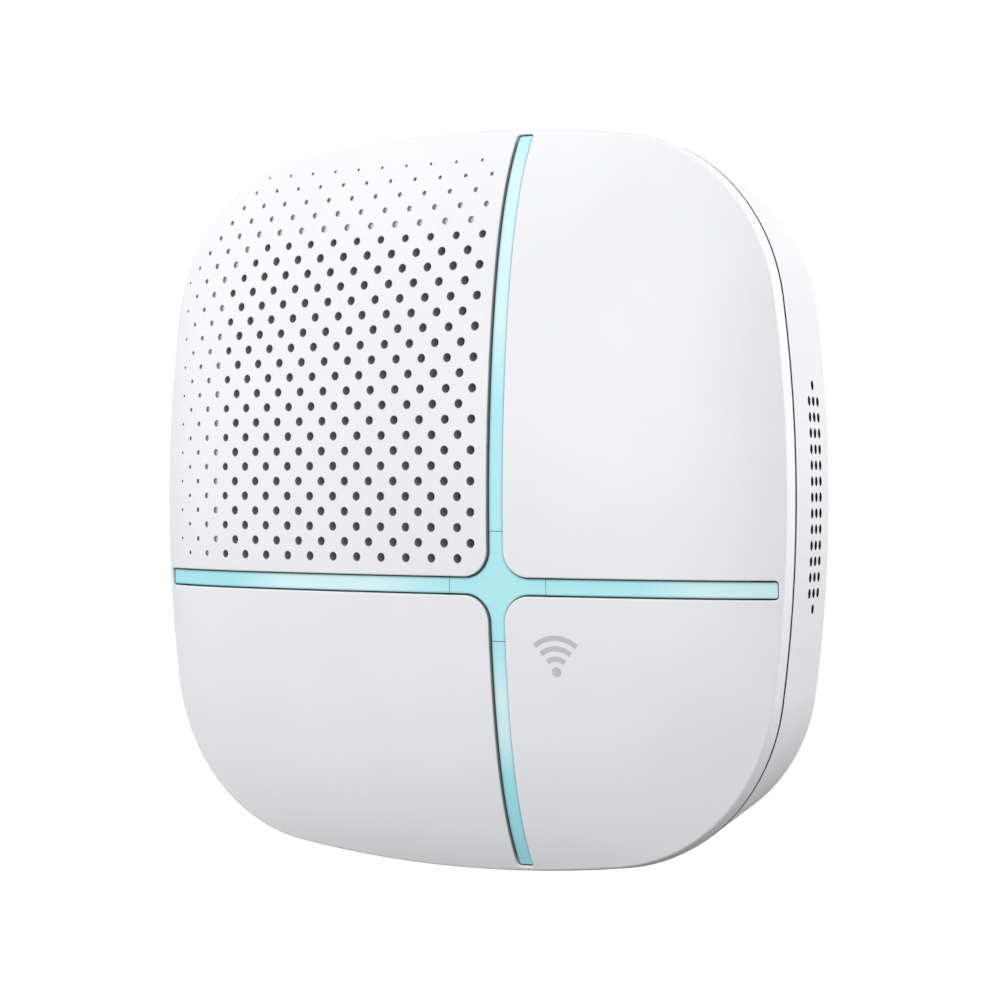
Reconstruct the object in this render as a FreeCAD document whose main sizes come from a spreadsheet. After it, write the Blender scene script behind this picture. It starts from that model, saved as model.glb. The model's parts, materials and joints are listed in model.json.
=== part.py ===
import FreeCAD, Part
import Sketcher
import math
import os
import re
from FreeCAD import Vector

# Wall-mounted mesh wifi node: a square domed case with an off-centre cross of
# light, a perforated speaker field, and a slide-on wall bracket.
# Frame: the wall is the plane Y = 0, the front faces -Y, +Z is up and +X is to
# the right of someone who looks at the front. "Depth" below always means the
# distance forward from the wall, so a depth of 10 is the plane Y = -10.

SIZES = {
    # outline at the seam: four shallow side arcs joined by four corner arcs
    "half_side": 73.4,
    "side_radius": 270.5,
    "corner_radius": 38.1,
    # depths from the wall
    "wall_gap": 0.5,
    "seam_depth": 25.25,
    "seam_gap": 0.85,
    # front cover
    "skin": 2.2,
    "rim_rise": 3.23,
    "rim_inset": 0.52,
    "dome_rise": 12.49,
    "dome_soft": 0.606,
    "dome_mid": 0.130,
    "dome_square": 0.792,
    "rim_round": 0.6,
    # rear case: the side walls lean in by this angle towards the wall
    "rear_lean": 10.8,
    "back_round": 1.5,
    # cross of light
    "cross_x": 16.75,
    "cross_z": -16.45,
    "groove_width": 3.6,
    "light_gap": 0.25,
    "groove_end": 71.5,
    "groove_corner": 0.7,
    "groove_round": 0.25,
    "light_round": 0.2,
    "hub_half": 10.55,
    "hub_seam": 0.12,
    "hub_fillet": 5.25,
    "light_recess": 0.65,
    "light_height": 2.85,
    "flange_drop": 2.3,
    "flange_height": 1.2,
    "flange_width": 7.0,
    "flange_end": 66.0,
    "hub_flange_radius": 9.5,
    # perforated field: a square lattice with every second place empty
    "hole_step": 3.0,
    "hole_first": 5.25,
    "hole_radius": 0.9,
    "blind_depth": 0.9,
    # cooling vents in the two side walls
    "vent_radius": 0.95,
    "vent_step": 3.05,
    "vent_drop": 14.5,
    "vent_mid_z": 0.7,
    # chassis plate
    "frame_inset": 3.0,
    "frame_thick": 2.0,
    "gasket_inset": 0.2,
    "gasket_band": 1.9,
    # case screws
    "screw_x": 59.0,
    "screw_z": 40.0,
    "screw_radius": 1.1,
    "boss_radius": 4.0,
    "cover_pilot_depth": 3.2,
    "case_screw_seat": 16.0,
    "case_screw_length": 12.8,
    # speaker
    "speaker_x": -20.0,
    "speaker_z": 20.0,
    "speaker_front": 31.6,
    "speaker_opening": 25.6,
    "speaker_ear": 26.0,
    "speaker_flange": 1.2,
    # light board behind the hub
    "light_board_front": 33.2,
    "light_board_thick": 1.2,
    "light_board_side": 34.4,
    "light_post": 14.2,
    "led_side": 2.8,
    "led_height": 0.8,
    "leg_length": 4.0,
    "key_post_end": 36.5,
    "key_post_radius": 1.6,
    # main board
    "board_back": 8.6,
    "board_thick": 1.6,
    "board_half": 52.0,
    "board_bottom": -36.5,
    "board_top": 56.0,
    "board_screw_x": 46.0,
    "board_screw_low": -30.0,
    "board_screw_high": 44.0,
    # port bay at the lower back
    "bay_half": 34.0,
    "bay_top": -40.0,
    "bay_bottom": -66.0,
    "bay_depth": 22.8,
    "bay_wall": 2.0,
    "jack_width": 16.0,
    "jack_deep": 12.0,
    "jack_long": 21.0,
    "jack_mouth": -39.6,
    "jack_one_x": -22.0,
    "jack_two_x": -3.0,
    "power_x": 16.0,
    "reset_x": 28.0,
    # wall bracket and the recess that it slides in
    "bracket_half": 28.0,
    "bracket_low": -24.0,
    "bracket_high": 40.0,
    "bracket_thick": 3.0,
    "recess_depth": 3.5,
    "floor_thick": 2.1,
    "stud_x": 22.0,
    "stud_low": -12.0,
    "stud_high": 28.0,
    "stud_radius": 2.0,
    "stud_head": 3.6,
    "lift": 12.0,
    "wall_hole_x": 13.0,
    "wall_hole_low": -15.0,
    "wall_hole_high": 31.0,
    "wall_hole_radius": 2.25,
    # feet on the back of the case
    "pad_x": 48.0,
    "pad_z": 52.0,
    "pad_radius": 5.0,
    "pad_thick": 1.2,
}

doc = FreeCAD.newDocument("MeshNode")
sheet = doc.addObject("Spreadsheet::Sheet", "Sizes")
for line, (alias, number) in enumerate(SIZES.items(), start=1):
    sheet.set(f"A{line}", alias)
    sheet.set(f"B{line}", str(number))
    sheet.setAlias(f"B{line}", alias)
doc.recompute()

parts = []


def size(alias):
    return float(sheet.get(alias))


def bind(item, prop, formula):
    """Bind a property to a formula over the sheet's aliases."""
    words = re.sub(r"\b([a-z]+(?:_[a-z]+)+|skin|lift)\b", r"Sizes.\1", str(formula))
    item.setExpression(prop, words)


def keep(item, label):
    """Make an object one of the node's pieces."""
    item.Label = label
    parts.append(item)
    return item


# ---------------------------------------------------------------- primitives

def block(name, wide, deep, tall, x, depth, z):
    """A box centred on x and z that reaches forward from a depth."""
    item = doc.addObject("Part::Box", name)
    bind(item, "Length", wide)
    bind(item, "Width", deep)
    bind(item, "Height", tall)
    bind(item, "Placement.Base.x", f"({x}) - ({wide}) / 2")
    bind(item, "Placement.Base.y", f"-({depth}) - ({deep})")
    bind(item, "Placement.Base.z", f"({z}) - ({tall}) / 2")
    return item


def turned(item, x, depth, z, axis=Vector(1, 0, 0), angle=90):
    item.Placement = FreeCAD.Placement(Vector(), FreeCAD.Rotation(axis, angle))
    bind(item, "Placement.Base.x", x)
    bind(item, "Placement.Base.y", f"-({depth})")
    bind(item, "Placement.Base.z", z)
    return item


def rod(name, radius, length, x, depth, z):
    """A cylinder that points forward from a depth."""
    item = doc.addObject("Part::Cylinder", name)
    bind(item, "Radius", radius)
    bind(item, "Height", length)
    return turned(item, x, depth, z)


def post(name, radius, length, x, depth, z):
    """A cylinder that points up from z."""
    item = doc.addObject("Part::Cylinder", name)
    bind(item, "Radius", radius)
    bind(item, "Height", length)
    return turned(item, x, depth, z, angle=0)


def fuse(name, items):
    item = doc.addObject("Part::MultiFuse", name)
    item.Shapes = items
    return item


def group(name, items):
    item = doc.addObject("Part::Compound", name)
    item.Links = items
    return item


def cut(name, base, tools):
    item = doc.addObject("Part::Cut", name)
    item.Base = base
    item.Tool = tools[0] if len(tools) == 1 else group(name + "_tools", tools)
    return item


def common(name, first, second):
    item = doc.addObject("Part::Common", name)
    item.Base = first
    item.Tool = second
    return item


def solid(name, shape):
    item = doc.addObject("Part::Feature", name)
    item.Shape = shape
    return item


# ------------------------------------------------------- bodies with sketches

def new_body(label):
    return doc.addObject("PartDesign::Body", label)


def new_sketch(body, name, role, depth="0"):
    """A sketch on one of the body's origin planes, moved along its normal."""
    sketch = body.newObject("Sketcher::SketchObject", name)
    plane = next(f for f in body.Origin.OriginFeatures if f.Role == role)
    sketch.AttachmentSupport = [(plane, "")]
    sketch.MapMode = "FlatFace"
    bind(sketch, "AttachmentOffset.Base.z", depth)
    return sketch


def pad(body, name, sketch, length, backward=False):
    feature = body.newObject("PartDesign::Pad", name)
    feature.Profile = sketch
    feature.Reversed = backward
    bind(feature, "Length", length)
    return feature


def pocket(body, name, sketch, length, backward=False):
    feature = body.newObject("PartDesign::Pocket", name)
    feature.Profile = sketch
    feature.Reversed = backward
    bind(feature, "Length", length)
    return feature


def draw_loop(sketch, points):
    """Closed polyline through the points."""
    for start, end in zip(points, points[1:] + points[:1]):
        sketch.addGeometry(Part.LineSegment(Vector(*start, 0), Vector(*end, 0)), False)


def draw_circle(sketch, x, z, radius, formula):
    """Circle whose radius is bound to the sheet."""
    index = sketch.addGeometry(Part.Circle(Vector(x, z, 0), Vector(0, 0, 1), radius), False)
    row = sketch.addConstraint(Sketcher.Constraint("Radius", index, radius))
    bind(sketch, f"Constraints[{row}]", formula)
    return index


def revolved(label, profile, x, depth, z):
    """A piece turned about the forward axis; profile points are (radius, forward)."""
    body = new_body(label)
    sketch = new_sketch(body, label + "_profile", "XY_Plane")
    draw_loop(sketch, [(radius, -forward) for radius, forward in profile])
    feature = body.newObject("PartDesign::Revolution", label + "_turn")
    feature.Profile = sketch
    feature.ReferenceAxis = (sketch, ["V_Axis"])
    feature.Angle = 360
    bind(body, "Placement.Base.x", x)
    bind(body, "Placement.Base.y", f"-({depth})")
    bind(body, "Placement.Base.z", z)
    return body


# ------------------------------------------------------------ outline and dome

HALF = size("half_side")
SIDE_ARC = size("side_radius")
CORNER_ARC = size("corner_radius")
SEAM = size("seam_depth")
RIM = size("rim_rise")
RISE = size("dome_rise")


def corner_centre():
    """Centre of the upper right corner arc, tangent to both side arcs."""
    side = SIDE_ARC - HALF
    reach = SIDE_ARC - CORNER_ARC
    half_gap = side / math.sqrt(2)
    along = math.sqrt(reach ** 2 - half_gap ** 2) - half_gap
    return along / math.sqrt(2)


CORNER = corner_centre()
SIDE_SWING = math.atan2(CORNER, CORNER + SIDE_ARC - HALF)


def outline_edges(inset, depth):
    """The eight arcs of the outline, moved inwards by an inset."""
    y = -depth
    side, corner = SIDE_ARC - inset, CORNER_ARC - inset

    def point(cx, cz, radius, angle):
        return Vector(cx + radius * math.cos(angle), y, cz + radius * math.sin(angle))

    edges = []
    for quarter in range(4):
        turn = quarter * math.pi / 2
        back = HALF - SIDE_ARC
        sx, sz = back * math.cos(turn), back * math.sin(turn)
        cx = CORNER * (math.cos(turn) - math.sin(turn))
        cz = CORNER * (math.cos(turn) + math.sin(turn))
        swing = [turn - SIDE_SWING, turn, turn + SIDE_SWING]
        edges.append(Part.Arc(*[point(sx, sz, side, a) for a in swing]).toShape())
        swing = [turn + SIDE_SWING, turn + math.pi / 4, turn + math.pi / 2 - SIDE_SWING]
        edges.append(Part.Arc(*[point(cx, cz, corner, a) for a in swing]).toShape())
    return edges


def outline_wire(inset, depth):
    return Part.Wire(Part.__sortEdges__(outline_edges(inset, depth)))


def prism(inset, depth, length, inset_at_end=None):
    """Solid between the outline at a depth and the outline further forward."""
    end = inset if inset_at_end is None else inset_at_end
    wires = [outline_wire(inset, depth), outline_wire(end, depth + length)]
    return Part.makeLoft(wires, True, True)


def edge_reach(angle):
    """Distance from the centre to the rim in a direction."""
    fold = angle % (math.pi / 2)
    if fold > math.pi / 4:
        fold = math.pi / 2 - fold
    inset = size("rim_inset")
    back = SIDE_ARC - HALF
    side = SIDE_ARC - inset
    reach = math.sqrt(side ** 2 - (back * math.sin(fold)) ** 2) - back * math.cos(fold)
    if math.atan2(reach * math.sin(fold), reach * math.cos(fold) + back) <= SIDE_SWING:
        return reach
    ahead = CORNER * (math.cos(fold) + math.sin(fold))
    aside = CORNER * (math.cos(fold) - math.sin(fold))
    return ahead + math.sqrt((CORNER_ARC - inset) ** 2 - aside ** 2)


def spread(x, z):
    """0 at the centre of the front, 1 everywhere along the rim."""
    square = size("dome_square")
    rim_half = HALF - size("rim_inset")

    def raw(px, pz):
        across, up = (px / rim_half) ** 2, (pz / rim_half) ** 2
        return across + up - square * across * up

    angle = math.atan2(z, x)
    reach = edge_reach(angle)
    share = math.hypot(x, z) / reach
    at_rim = raw(reach * math.cos(angle), reach * math.sin(angle))
    return raw(x, z) + (1 - at_rim) * share ** 4


def dome_height(x, z):
    """Height of the front skin above the seam plane."""
    soft, mid = size("dome_soft"), size("dome_mid")
    u = spread(x, z)
    return RIM + RISE * (1 - soft * u - mid * u ** 2 - (1 - soft - mid) * u ** 4)


def dome_face():
    """The front skin as one smooth surface over the whole outline."""
    count = 49
    step = 2 * (HALF + 1) / (count - 1)
    ticks = [-(HALF + 1) + step * index for index in range(count)]
    grid = [[Vector(x, -SEAM - dome_height(x, z), z) for z in ticks] for x in ticks]
    surface = Part.BSplineSurface()
    surface.interpolate(grid)
    return surface.toShape()


DOME = dome_face()


def layer(drop, height):
    """A sheet of even depth that follows the dome, dropped behind the skin."""
    sheet_face = DOME.copy()
    sheet_face.translate(Vector(0, drop, 0))
    return sheet_face.extrude(Vector(0, height, 0))


def along(edge):
    """Five points spread over an edge."""
    first, last = edge.ParameterRange
    return [edge.valueAt(first + (last - first) * quarter / 4) for quarter in range(5)]


def on_skin(edge, drop=0.0):
    """Whether an edge lies on the front skin, or on a copy dropped behind it."""
    near = 0.02
    return all(abs(p.y + SEAM + dome_height(p.x, p.z) - drop) < near for p in along(edge))


def at_rim(edge):
    return all(spread(p.x, p.z) > 0.985 for p in along(edge))


def rounded(name, item, radius_of):
    """Round the edges for which the rule gives a radius."""
    doc.recompute()
    result = doc.addObject("Part::Fillet", name)
    result.Base = item
    radii = [(number, radius_of(edge)) for number, edge in enumerate(item.Shape.Edges, start=1)]
    result.Edges = [(number, radius, radius) for number, radius in radii if radius]
    return result


BELOW = 40.0
UNDER_SKIN = solid("under_skin", layer(0, BELOW))
UNDER_WALL = solid("under_wall", layer(size("skin"), BELOW))

# ------------------------------------------------------------- cross of light

CROSS_X = size("cross_x")
CROSS_Z = size("cross_z")
GAP = size("light_gap")
GROOVE = size("groove_width") / 2
HUB = size("hub_half")
END = size("groove_end")
FRONT_MOST = SEAM + RIM + RISE

ARMS = {
    "right": (0, END - CROSS_X),
    "top": (90, END - CROSS_Z),
    "left": (180, END + CROSS_X),
    "bottom": (270, END + CROSS_Z),
}


def cross_plan(face):
    """Turn a flat face drawn at the cross centre into a column along Y."""
    column = face.extrude(Vector(0, -BELOW, 0))
    column.translate(Vector(CROSS_X, -SEAM + BELOW / 4, CROSS_Z))
    return column


def bar_face(start, end, half, corner):
    """A bar along +X in the wall plane, with two rounded far corners."""
    a, b = Vector(start, 0, -half), Vector(end - corner, 0, -half)
    c, d = Vector(end, 0, -half + corner), Vector(end, 0, half - corner)
    e, f = Vector(end - corner, 0, half), Vector(start, 0, half)
    diagonal = corner * math.sqrt(0.5)
    low = Vector(end - corner + diagonal, 0, -half + corner - diagonal)
    high = Vector(end - corner + diagonal, 0, half - corner + diagonal)
    edges = [Part.makeLine(a, b), Part.Arc(b, low, c).toShape(), Part.makeLine(c, d),
             Part.Arc(d, high, e).toShape(), Part.makeLine(e, f), Part.makeLine(f, a)]
    return Part.Face(Part.Wire(edges))


def aimed(shape, angle):
    """Turn a shape drawn along +X to one of the four arm directions."""
    copy = shape.copy()
    copy.rotate(Vector(0, 0, 0), Vector(0, -1, 0), angle)
    return copy


def star_face(reach, half, fillet):
    """The hub's outline: four short arms with hollow corners between them."""
    inner = half + fillet
    diagonal = inner - fillet * math.sqrt(0.5)
    edges = []
    for angle in (0, 90, 180, 270):
        side = [Part.makeLine(Vector(reach, 0, -half), Vector(reach, 0, half)),
                Part.makeLine(Vector(reach, 0, half), Vector(inner, 0, half)),
                Part.Arc(Vector(inner, 0, half), Vector(diagonal, 0, diagonal),
                         Vector(half, 0, inner)).toShape(),
                Part.makeLine(Vector(half, 0, inner), Vector(half, 0, reach))]
        edges += [aimed(edge, angle) for edge in side]
    return Part.Face(Part.Wire(Part.__sortEdges__(edges)))


groove_plan = cross_plan(star_face(HUB, GROOVE, size("hub_fillet")))
for angle, length in ARMS.values():
    slot = bar_face(HUB - 1, length, GROOVE, size("groove_corner"))
    groove_plan = groove_plan.fuse(cross_plan(aimed(slot, angle)))
GROOVE_TOOL = solid("groove_tool", groove_plan)

LIGHT_LAYER = layer(size("light_recess"), size("light_height"))
FLANGE_LAYER = layer(size("flange_drop"), size("flange_height"))
LED_TOP = size("light_board_front") + size("led_height")
LED_AIR = 0.3
ARM_START = HUB + size("hub_seam")
LEG_LENGTH = size("leg_length")


def softened(bar):
    """Round a light piece's front edges, except where arm and hub face each other."""

    def at_seam(edge):
        reach = [max(abs(p.x - CROSS_X), abs(p.z - CROSS_Z)) for p in along(edge)]
        return all(abs(r - HUB) < 2 * size("hub_seam") for r in reach)

    edges = [e for e in bar.Edges if on_skin(e, size("light_recess")) and not at_seam(e)]
    return bar.makeFillet(size("light_round"), edges)


def light_arm(side):
    """One arm of the cross: visible bar, hidden flange and the leg over its LED."""
    angle, length = ARMS[side]
    half = GROOVE - GAP
    corner = size("groove_corner") - GAP
    bar = cross_plan(aimed(bar_face(ARM_START, length - GAP, half, corner), angle))
    bar = softened(bar.common(LIGHT_LAYER))
    flange_half = size("flange_width") / 2
    start, end = HUB + 3, length - END + size("flange_end")
    flange = cross_plan(aimed(bar_face(start, end, flange_half, 1.5), angle))
    flange = flange.common(FLANGE_LAYER)
    lowest = LED_TOP + LED_AIR
    leg = Part.makeBox(LEG_LENGTH, FRONT_MOST - lowest, 2 * half,
                       Vector(ARM_START, -FRONT_MOST, -half))
    leg = aimed(leg, angle)
    leg.translate(Vector(CROSS_X, 0, CROSS_Z))
    under_bar = UNDER_SKIN.Shape.copy()
    under_bar.translate(Vector(0, size("light_recess") + 0.5, 0))
    leg = leg.common(under_bar)
    return bar.fuse([flange, leg]).removeSplitter()


for side in ARMS:
    keep(solid("light_arm_" + side, light_arm(side)), "light_arm_" + side)

# The hub is a press key: star, hidden round flange and a post on the switch.
star = cross_plan(star_face(HUB, GROOVE - GAP, size("hub_fillet") + GAP)).common(LIGHT_LAYER)
disc = Part.makeCylinder(size("hub_flange_radius"), BELOW,
                         Vector(CROSS_X, 0, CROSS_Z), Vector(0, -1, 0))
disc.translate(Vector(0, -SEAM + BELOW / 4, 0))
key_back = FRONT_MOST - size("light_recess") - size("light_height")
key_end = size("key_post_end")
key_post = Part.makeCylinder(size("key_post_radius"), key_back - key_end,
                             Vector(CROSS_X, -key_end, CROSS_Z), Vector(0, -1, 0))
hub = softened(star).fuse([disc.common(FLANGE_LAYER), key_post]).removeSplitter()
keep(solid("light_hub", hub), "light_hub")

# -------------------------------------------------------------- front cover

cover_blank = solid("cover_blank", prism(0, SEAM + size("seam_gap") / 2, RIM + RISE + 2,
                                         size("rim_inset") * (RIM + RISE + 2) / RIM))
cover_hollow = solid("cover_hollow", prism(size("skin"), SEAM - 1, RIM + RISE + 2))
cover_outer = common("cover_outer", cover_blank, UNDER_SKIN)
cover_inner = common("cover_inner", cover_hollow, UNDER_WALL)
cover_grooved = cut("cover_grooved", cover_outer, [GROOVE_TOOL])


def cover_radius(edge):
    if not on_skin(edge):
        return 0
    return size("rim_round") if at_rim(edge) else size("groove_round")


cover_rounded = rounded("cover_rounded", cover_grooved, cover_radius)
cover_shell = cut("cover_shell", cover_rounded, [cover_inner])


HOLE_ROWS = 27
LAST_SUM = 45
LAST_FULL = 20
LAST_THROUGH = 21
SHRINK = 0.11


def hole_class(across, up):
    """How far a hole lies from the cross, counted in lattice steps."""
    return max(across, up, math.ceil((across + up + 3) / 2))


def hole_radius(rank):
    """Full size in the field, then smaller with every step beyond it."""
    return size("hole_radius") * (1 - SHRINK * max(0, rank - LAST_FULL))


def grille_holes():
    """Through holes that fade into shrinking blind dimples at the field's edge."""
    step, first = size("hole_step"), size("hole_first")
    holes = []
    for across in range(HOLE_ROWS):
        for up in range(HOLE_ROWS):
            if (across + up) % 2 == 0 or across + up > LAST_SUM:
                continue
            x = CROSS_X - first - step * across
            z = CROSS_Z + first + step * up
            rank = hole_class(across, up)
            bottom = SEAM + 2.0
            if rank > LAST_THROUGH:
                bottom = SEAM + dome_height(x, z) - size("blind_depth")
            hole = Part.makeCylinder(hole_radius(rank), FRONT_MOST + 1 - bottom,
                                     Vector(x, -bottom, z), Vector(0, -1, 0))
            holes.append(hole)
    return Part.makeCompound(holes)


GRILLE = solid("grille_holes", grille_holes())

SCREW_PLACES = [(sx, sz) for sx in ("screw_x", "-screw_x") for sz in ("screw_z", "-screw_z")]
FRAME_FRONT = "seam_depth + frame_thick / 2"
FRAME_BACK = "seam_depth - frame_thick / 2"

cover_posts = []
cover_pilots = []
for number, (sx, sz) in enumerate(SCREW_PLACES):
    cover_posts.append(rod(f"cover_post_{number}", "boss_radius", "14", sx, FRAME_FRONT, sz))
    cover_pilots.append(rod(f"cover_pilot_{number}", "screw_radius + 0.05",
                            "cover_pilot_depth", sx, FRAME_FRONT, sz))
under_skin_part = solid("post_limit", layer(size("skin") - 0.4, BELOW))
post_group = common("cover_post_group", fuse("cover_post_fuse", cover_posts), under_skin_part)
cover_full = fuse("cover_full", [cover_shell, post_group])
keep(cut("front_cover", cover_full, [GRILLE] + cover_pilots), "front_cover")

# Fine cloth bonded behind the perforated field, following the dome.
FIELD_HALF = 10.5
field_side = f"{2 * FIELD_HALF + 1} * hole_step"
field_x = f"cross_x - hole_first - {FIELD_HALF} * hole_step"
field_z = f"cross_z + hole_first + {FIELD_HALF} * hole_step"
cloth_plan = block("cloth_plan", field_side, "seam_depth", field_side, field_x,
                   "seam_depth", field_z)
CLOTH = solid("cloth_layer", layer(size("skin") + 0.1, 0.3))
cloth_sheet = common("cloth_sheet", cloth_plan, CLOTH)
cloth_notch = rod("cloth_notch", "hub_flange_radius + 0.6", "seam_depth", "cross_x",
                  "seam_depth", "cross_z")
keep(cut("grille_cloth", cloth_sheet, [cloth_notch]), "grille_cloth")

# ---------------------------------------------------- chassis plate and gasket

frame_plate = solid("frame_plate", prism(size("frame_inset"), SEAM - size("frame_thick") / 2,
                                         size("frame_thick")))
frame_tools = [
    rod("frame_speaker_hole", "speaker_opening", "6", "speaker_x", "seam_depth - 3", "speaker_z"),
    block("frame_bay_hole", "2 * bay_half + 10", "6", "38", "0", "seam_depth - 3", "-56"),
    block("frame_right_hole", "24", "6", "52", "34", "seam_depth - 3", "32"),
    block("frame_left_hole", "24", "6", "24", "-34", "seam_depth - 3", "-22"),
    block("frame_flex_hole", "14", "6", "8", "cross_x + 10", "seam_depth - 3", "cross_z"),
]
for number, (sx, sz) in enumerate(SCREW_PLACES):
    frame_tools.append(rod(f"frame_screw_hole_{number}", "screw_radius + 0.4", "6",
                           sx, "seam_depth - 3", sz))
frame_cut = cut("frame_cut", frame_plate, frame_tools)

LIGHT_POST = size("light_post")
LIGHT_PLACES = [(f"cross_x + {dx * LIGHT_POST}", f"cross_z + {dz * LIGHT_POST}")
                for dx in (1, -1) for dz in (1, -1)]
light_posts = []
light_pilots = []
for number, (x, z) in enumerate(LIGHT_PLACES):
    back = "light_board_front - light_board_thick"
    light_posts.append(rod(f"light_post_{number}", "2.2", f"{back} - ({FRAME_FRONT})",
                           x, FRAME_FRONT, z))
    light_pilots.append(rod(f"light_pilot_{number}", "0.75", "5", x, f"{back} - 5", z))

EAR = size("speaker_ear") * math.sqrt(0.5)
EARS = [(f"speaker_x + {dx * EAR}", f"speaker_z + {dz * EAR}")
        for dx in (1, -1) for dz in (1, -1)]
speaker_posts = []
speaker_pilots = []
for number, (x, z) in enumerate(EARS):
    back = "speaker_front - speaker_flange"
    speaker_posts.append(rod(f"speaker_post_{number}", "2.2", f"{back} - ({FRAME_BACK})",
                             x, FRAME_BACK, z))
    speaker_pilots.append(rod(f"speaker_pilot_{number}", "0.75", "4", x, f"{back} - 4", z))
frame_full = fuse("frame_full", [frame_cut] + light_posts + speaker_posts)
keep(cut("mid_frame", frame_full, light_pilots + speaker_pilots), "mid_frame")

gasket_outer = solid("gasket_outer", prism(size("gasket_inset"),
                                           SEAM - size("seam_gap") / 2, size("seam_gap")))
gasket_inner = solid("gasket_inner", prism(size("gasket_inset") + size("gasket_band"),
                                           SEAM - 1, 2))
keep(cut("seam_gasket", gasket_outer, [gasket_inner]), "seam_gasket")

# ----------------------------------------------------------------- rear case

CASE_FRONT = SEAM - size("seam_gap") / 2
CASE_BACK = size("wall_gap")
SKIN = size("skin")
LEAN = math.tan(math.radians(size("rear_lean")))


def case_inset(depth):
    """How far the leaning side wall stands in from the seam outline."""
    return LEAN * (SEAM - depth)


def case_prism(extra, back, front):
    return prism(case_inset(back) + extra, back, front - back, case_inset(front) + extra)


def back_radius(edge):
    at_back = edge.BoundBox.YMin > -CASE_BACK - 0.1
    return size("back_round") if at_back else 0


case_outer = rounded("case_outer", solid("case_block", case_prism(0, CASE_BACK, CASE_FRONT)),
                     back_radius)
case_hollow = solid("case_hollow", case_prism(SKIN, CASE_BACK + SKIN, CASE_FRONT + 1))
case_shell = cut("case_shell", case_outer, [case_hollow])

BAY_WIDE = "2 * bay_half + 2 * bay_wall"
BAY_TALL = "bay_top - bay_bottom + 2 * bay_wall"
BAY_MID = "(bay_top + bay_bottom) / 2"
RECESS_LOW = "bracket_low - lift - 0.5"
RECESS_TALL = "bracket_high - bracket_low + lift + 1"
RECESS_MID = "(bracket_high + bracket_low - lift) / 2"
RECESS_WIDE = "2 * bracket_half + 1"

case_adds = [
    block("bay_block", BAY_WIDE, "bay_depth + bay_wall - wall_gap", BAY_TALL,
          "0", "wall_gap", BAY_MID),
    block("recess_block", f"{RECESS_WIDE} + 4", "recess_depth + floor_thick - wall_gap",
          f"{RECESS_TALL} + 4", "0", "wall_gap", RECESS_MID),
]
case_cuts = [
    block("bay_hollow", "2 * bay_half", "bay_depth + 1", "bay_top - bay_bottom",
          "0", "-1", BAY_MID),
    block("cable_notch", "60", "21", "20", "0", "-1", "bay_bottom - 9.9"),
    block("recess_hollow", RECESS_WIDE, "recess_depth + 1", RECESS_TALL, "0", "-1", RECESS_MID),
    block("jack_one_window", "jack_width + 0.5", "jack_deep + 0.5", "6", "jack_one_x",
          "board_back + board_thick - 0.25", "bay_top + 1"),
    block("jack_two_window", "jack_width + 0.5", "jack_deep + 0.5", "6", "jack_two_x",
          "board_back + board_thick - 0.25", "bay_top + 1"),
    block("power_window", "10.1", "11.1", "6", "power_x", "board_back + board_thick - 0.05",
          "bay_top + 1"),
    post("reset_window", "1.75", "6", "reset_x", "board_back + board_thick + 4", "bay_top - 2"),
]
for name, zs in (("low", "stud_low"), ("high", "stud_high")):
    for mark, sx in (("right", "stud_x"), ("left", "-stud_x")):
        tag = f"{name}_{mark}"
        case_cuts.append(rod("key_top_" + tag, "stud_radius + 0.2", "8", sx, "0", zs))
        case_cuts.append(rod("key_round_" + tag, "stud_head + 0.5", "8", sx, "0",
                             f"{zs} - lift"))
        case_cuts.append(block("key_slot_" + tag, "2 * stud_radius + 0.4", "8", "lift",
                               sx, "0", f"{zs} - lift / 2"))
for number, (sx, sz) in enumerate(SCREW_PLACES):
    case_adds.append(rod(f"case_boss_{number}", "boss_radius", f"{FRAME_BACK} - wall_gap",
                         sx, "wall_gap", sz))
    case_cuts.append(rod(f"case_access_{number}", "boss_radius - 1.2", "17", sx, "-1", sz))
    case_cuts.append(rod(f"case_through_{number}", "screw_radius + 0.4", "30", sx, "0", sz))
BOARD_PLACES = [(sx, sz) for sx in ("board_screw_x", "-board_screw_x")
                for sz in ("board_screw_low", "board_screw_high")]
for number, (sx, sz) in enumerate(BOARD_PLACES):
    case_adds.append(rod(f"board_boss_{number}", "3.2", "board_back - 1.5", sx, "1.5", sz))
    case_cuts.append(rod(f"board_pilot_{number}", "screw_radius + 0.05", "6", sx, "3.2", sz))

PAD_PLACES = [(sx, sz) for sx in ("pad_x", "-pad_x") for sz in ("pad_z", "-pad_z")]
for number, (x, z) in enumerate(PAD_PLACES):
    case_cuts.append(rod(f"pad_seat_{number}", "pad_radius + 0.2", "pad_thick + 0.3", x,
                         "-0.2", z))


def vent_holes():
    """Three columns of round vents on each leaning side wall, a longer middle one."""
    radius, step, rows = size("vent_radius"), size("vent_step"), 13
    middle_depth = SEAM - size("vent_drop")
    holes = []
    for column in (-1, 0, 1):
        extra = 1 if column == 0 else 0
        half = (rows - 1) / 2 + extra
        for row in range(rows + 2 * extra):
            z = size("vent_mid_z") + (row - half) * step
            y = -(middle_depth + column * step)
            for side in (1, -1):
                start = Vector(side * (HALF - 9), y, z)
                holes.append(Part.makeCylinder(radius, 12, start, Vector(side, 0, 0)))
    return Part.makeCompound(holes)


case_cuts.append(solid("vent_holes", vent_holes()))
case_inside = common("case_inside", fuse("case_additions", case_adds), case_outer)
case_full = fuse("case_full", [case_shell, case_inside])
keep(cut("rear_case", case_full, case_cuts), "rear_case")

pads = [rod(f"pad_{number}", "pad_radius", "pad_thick", x, "0.05", z)
        for number, (x, z) in enumerate(PAD_PLACES)]
keep(group("wall_pads", pads), "wall_pads")


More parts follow.
